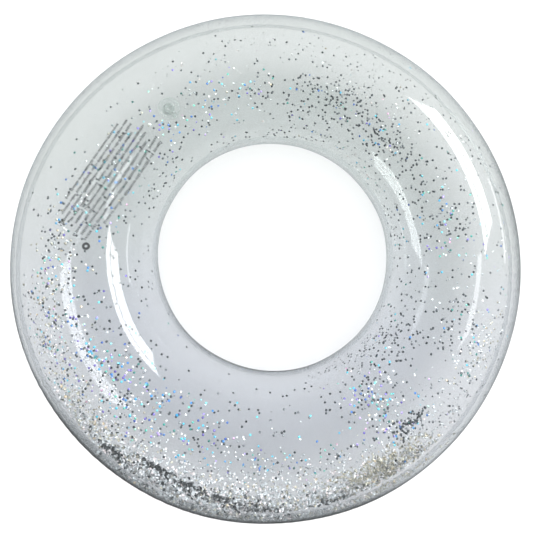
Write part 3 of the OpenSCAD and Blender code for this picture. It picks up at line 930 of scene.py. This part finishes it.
LEAN_STEP, FIRST_LEAN, LAST_LEAN = 3, -180, 540


def seen_from_camera(azimuth, lean):
    """Where the camera sees a place on the tube against the plane of the seams: radius and azimuth."""
    rho, z = RING_R + TUBE_R * np.sin(lean), TUBE_R * np.cos(lean)
    eye = camera.matrix_world.translation
    share = (eye.z - MID_Z) / (eye.z - MID_Z - z)
    x = eye.x + (rho * np.cos(azimuth) - eye.x) * share
    y = eye.y + (rho * np.sin(azimuth) - eye.y) * share
    return np.hypot(x, y), np.arctan2(y, x)


def lean_seen_at(azimuth, share, wall):
    """The lean that the camera sees this share of the way from hole edge to rim, on the wall named."""
    leans = np.radians(np.arange(FIRST_LEAN, LAST_LEAN, LEAN_STEP))
    radius, _ = seen_from_camera(azimuth, leans)
    turn = 360 // LEAN_STEP
    search = turn * 3 // 4  # long enough to meet the hole's edge, and from there the rim
    edge = int(np.argmin(radius[:search]))
    rim = edge + int(np.argmax(radius[edge : edge + search]))
    target = radius[edge] + share * (radius[rim] - radius[edge])
    span = slice(edge, rim + 1) if wall == NEAR else slice(rim, edge + turn + 1)
    order = np.argsort(radius[span])
    return np.interp(target, radius[span][order], leans[span][order])


def clinging_places():
    """Azimuth, lean and kind of every flake that clings to the skin, from the clusters."""
    parts = []
    for azimuth, azimuth_reach, share, share_reach, wall, count, mix in CLUSTERS:
        a = np.radians(azimuth + azimuth_reach * draw.normal(size=count).clip(-SPREAD_LIMIT, SPREAD_LIMIT))
        s = (share + share_reach * draw.normal(size=count)).clip(*SHARE_LIMITS)
        lean = np.array([lean_seen_at(*place, wall) for place in zip(a, s)])
        a = 2 * a - seen_from_camera(a, lean)[1]
        kind = draw.choice(len(KINDS), size=count, p=MIXES[mix])
        small = draw.uniform(size=count) < (SMALL_IN_FINE if mix in FINE_MIXES else SMALL_IN_OTHERS)
        tone = draw.uniform(size=count) ** (PALER_GREYS if mix == "grey" else 1.0)
        parts.append(np.stack([a, lean, kind, small, tone], axis=1))
    return np.concatenate(parts)


def scatter_clinging():
    azimuth, lean, kind, small, tone = clinging_places().T
    off_seams = (degrees_from(lean, 90) > SEAM_CLEAR) & (degrees_from(lean, -90) > SEAM_CLEAR)
    x, y = VALVE_ORIGIN.xy
    valve_azimuth, valve_rho = math.atan2(y, x), math.hypot(x, y)
    off_valve = np.hypot(
        np.angle(np.exp(1j * (azimuth - valve_azimuth))) * valve_rho, (lean - VALVE_LEAN) * TUBE_R
    )
    keep = off_seams & (off_valve > VALVE_CLEAR)
    azimuth, lean, kind, small, tone = (q[keep] for q in (azimuth, lean, kind, small, tone))
    count = len(azimuth)
    radius = np.where(small > 0, draw.uniform(*SMALL_RADII, count), draw.uniform(*DOT_RADII, count)) * MM
    swept = degrees_from(lean, SWEPT_LEAN) < SWEPT_REACH
    glinting = np.isin(kind, [KINDS.index("silver"), KINDS.index("gold")])
    lively = np.abs(draw.normal(0, 1, count)) * np.where(glinting, GLINTING_TILT, USUAL_TILT)
    tilt = np.radians(np.where(swept, draw.uniform(0, SWEPT_TILT, count), lively.clip(0, MOST_TILT)))
    lift = SHEET + CLING_GAP + radius * np.sin(tilt)
    lift += np.where(degrees_from(lean, 180) < FOOT_HALF_WIDTH, FOOT_RISE, 0)
    centre = on_tube(azimuth, lean, -lift)
    normal = tilted(-outward(azimuth, lean), tilt)
    for index, kind_name in enumerate(KINDS):
        mine = kind == index
        dish = draw.uniform(*DOT_DISH, mine.sum())
        flakes(
            f"{kind_name}_dots", "float", f"{kind_name}_glitter", MATERIALS[kind_name],
            centre[mine], normal[mine], radius[mine], DOT_SIDES, DOT_T, dish, tone[mine],
        )


# The loose heap: azimuth, its reach, lean, its reach, count, and how far it piles off the skin in mm
HEAP = {
    "silver": (
        (-113, 14, 108, 11, 1700, 4.5), (-88, 15, 110, 12, 1450, 4.5), (-131, 8, 107, 9, 600, 3.0),
        (-68, 10, 111, 11, 420, 3.5), (-57, 9, 105, 8, 180, 2.0), (-95, 26, 132, 9, 350, 2.0),
        (-110, 9, 83, 3, 400, 6.0), (-90, 14, 82, 3, 480, 6.0), (-68, 9, 82, 3, 130, 5.0),
    ),
    "gold": (
        (-63, 6, 113, 8, 800, 4.5), (-92, 22, 111, 13, 450, 4.5), (-132, 9, 111, 12, 250, 3.0),
        (-64, 8, 82, 3, 120, 5.0), (-100, 14, 82, 3, 120, 5.0),
    ),
    "dark": (
        (-128, 3.5, 105, 4, 260, 5.5), (-118, 3, 119, 2.0, 200, 6.5), (-110, 3, 115, 2.0, 220, 6.5),
        (-102, 4, 109, 2.0, 160, 6.5), (-94, 4, 101, 2, 150, 6.0), (-77, 3, 100, 2, 70, 6.0),
        (-108, 16, 108, 8, 420, 5.5), (-67, 8, 106, 6, 70, 4.5), (-114, 7, 83, 3, 120, 6.0),
        (-99, 9, 82, 3, 120, 6.0),
    ),
}
HEAP_LEANS = (98, 165)
LEDGE_LEANS = (74, 87)  # some of it lies on the ledge that the outer weld makes
HEAP_SPREAD_LIMIT, PILE_FALL_OFF = 2.3, 3
HEAP_RADII, HEAP_DISH, FLAKE_CLEAR = (1.1, 2.5), (-0.25, 0.25), 0.85 * MM  # radii in mm
CRUMPLE_WAVES, CRUMPLE_PACE = 7, (0.25, 0.85)  # radians per mm
CRUMPLE_TILT, LOOSE_TILT, STEEPEST = 0.42, 0.22, 1.15  # radians
CRUMPLE_PILE, PILE_LIMITS = 0.3, (0.3, 1.5)
ALONG_MM, ACROSS_MM = 290, 93  # about how many mm of skin a radian of azimuth and of lean is
BRIGHTER_SILVER = 0.7  # the power that the silver flakes' tones are raised to
CRUMPLES = [
    tuple(draw.uniform(*limits, CRUMPLE_WAVES) for limits in (CRUMPLE_PACE, (0, 2 * np.pi), (0, 2 * np.pi)))
    for _ in range(3)
]


def crumple(along, across, bank):
    """A smooth random field over the skin, whose waves are 7 to 25 mm long. Places are in mm."""
    pace, heading, phase = bank
    total = sum(
        np.sin(k * (along * math.cos(h) + across * math.sin(h)) + p) for k, h, p in zip(pace, heading, phase)
    )
    return total / math.sqrt(len(pace) / 2)


def heap_places(lumps):
    """Azimuth, lean and height off the skin of every flake in these lumps."""
    parts = []
    for azimuth, azimuth_reach, lean, lean_reach, count, pile in lumps:
        a = azimuth + azimuth_reach * draw.normal(size=count).clip(-HEAP_SPREAD_LIMIT, HEAP_SPREAD_LIMIT)
        b = lean + lean_reach * draw.normal(size=count)
        if lean > LEDGE_LEANS[1]:
            b = (HEAP_LEANS[0] + np.abs(b - HEAP_LEANS[0])).clip(*HEAP_LEANS)
        else:
            b = b.clip(*LEDGE_LEANS)
        off = ((a - azimuth) / azimuth_reach) ** 2 + ((b - lean) / lean_reach) ** 2
        up = draw.uniform(0, 1, count) * pile * np.exp(-off / PILE_FALL_OFF)
        parts.append(np.stack([np.radians(a), np.radians(b), up * MM], axis=1))
    return np.concatenate(parts).T


def scatter_heap():
    heap_leans = np.radians(np.arange(LEDGE_LEANS[0], HEAP_LEANS[1] + 1))
    all_round = np.linspace(0, 2 * np.pi, AZIMUTH_STEPS, endpoint=False)
    lowest_skin = relief(all_round[:, None], heap_leans[None, :]).min(axis=0)  # the heap passes all of it
    for kind_name, lumps in HEAP.items():
        azimuth, lean, up = heap_places(lumps)
        count = len(azimuth)
        radius = draw.uniform(*HEAP_RADII, count) * MM
        along, across = azimuth * ALONG_MM, lean * ACROSS_MM
        rise, lean_by = (CRUMPLE_TILT * crumple(along, across, bank) for bank in CRUMPLES[:2])
        rise, lean_by = rise + draw.normal(0, LOOSE_TILT, count), lean_by + draw.normal(0, LOOSE_TILT, count)
        tilt = np.hypot(rise, lean_by).clip(0, STEEPEST)
        up = up * (1 + CRUMPLE_PILE * crumple(along, across, CRUMPLES[2])).clip(*PILE_LIMITS)
        dish = draw.uniform(*HEAP_DISH, count)
        edge_reach = radius * (np.sin(tilt) + np.abs(dish))
        to_lowest = np.interp(lean, heap_leans, lowest_skin) - relief(azimuth, lean)
        centre = on_tube(azimuth, lean, to_lowest - (SHEET + FLAKE_CLEAR + edge_reach + up))
        inward = -outward(azimuth, lean)
        around = np.stack([-np.sin(azimuth), np.cos(azimuth), 0 * azimuth], axis=1)
        heading = unit(rise[:, None] * around + lean_by[:, None] * np.cross(around, inward))
        normal = np.cos(tilt)[:, None] * inward + np.sin(tilt)[:, None] * heading
        tones = draw.uniform(0, 1, count) ** (BRIGHTER_SILVER if kind_name == "silver" else 1.0)
        flakes(
            f"loose_{kind_name}_flakes", "loose_glitter", f"loose_{kind_name}_glitter",
            MATERIALS[kind_name], centre, normal, radius, FLAKE_SIDES, FLAKE_T, dish, tones,
            glints=kind_name != "dark",
        )


scatter_clinging()
scatter_heap()
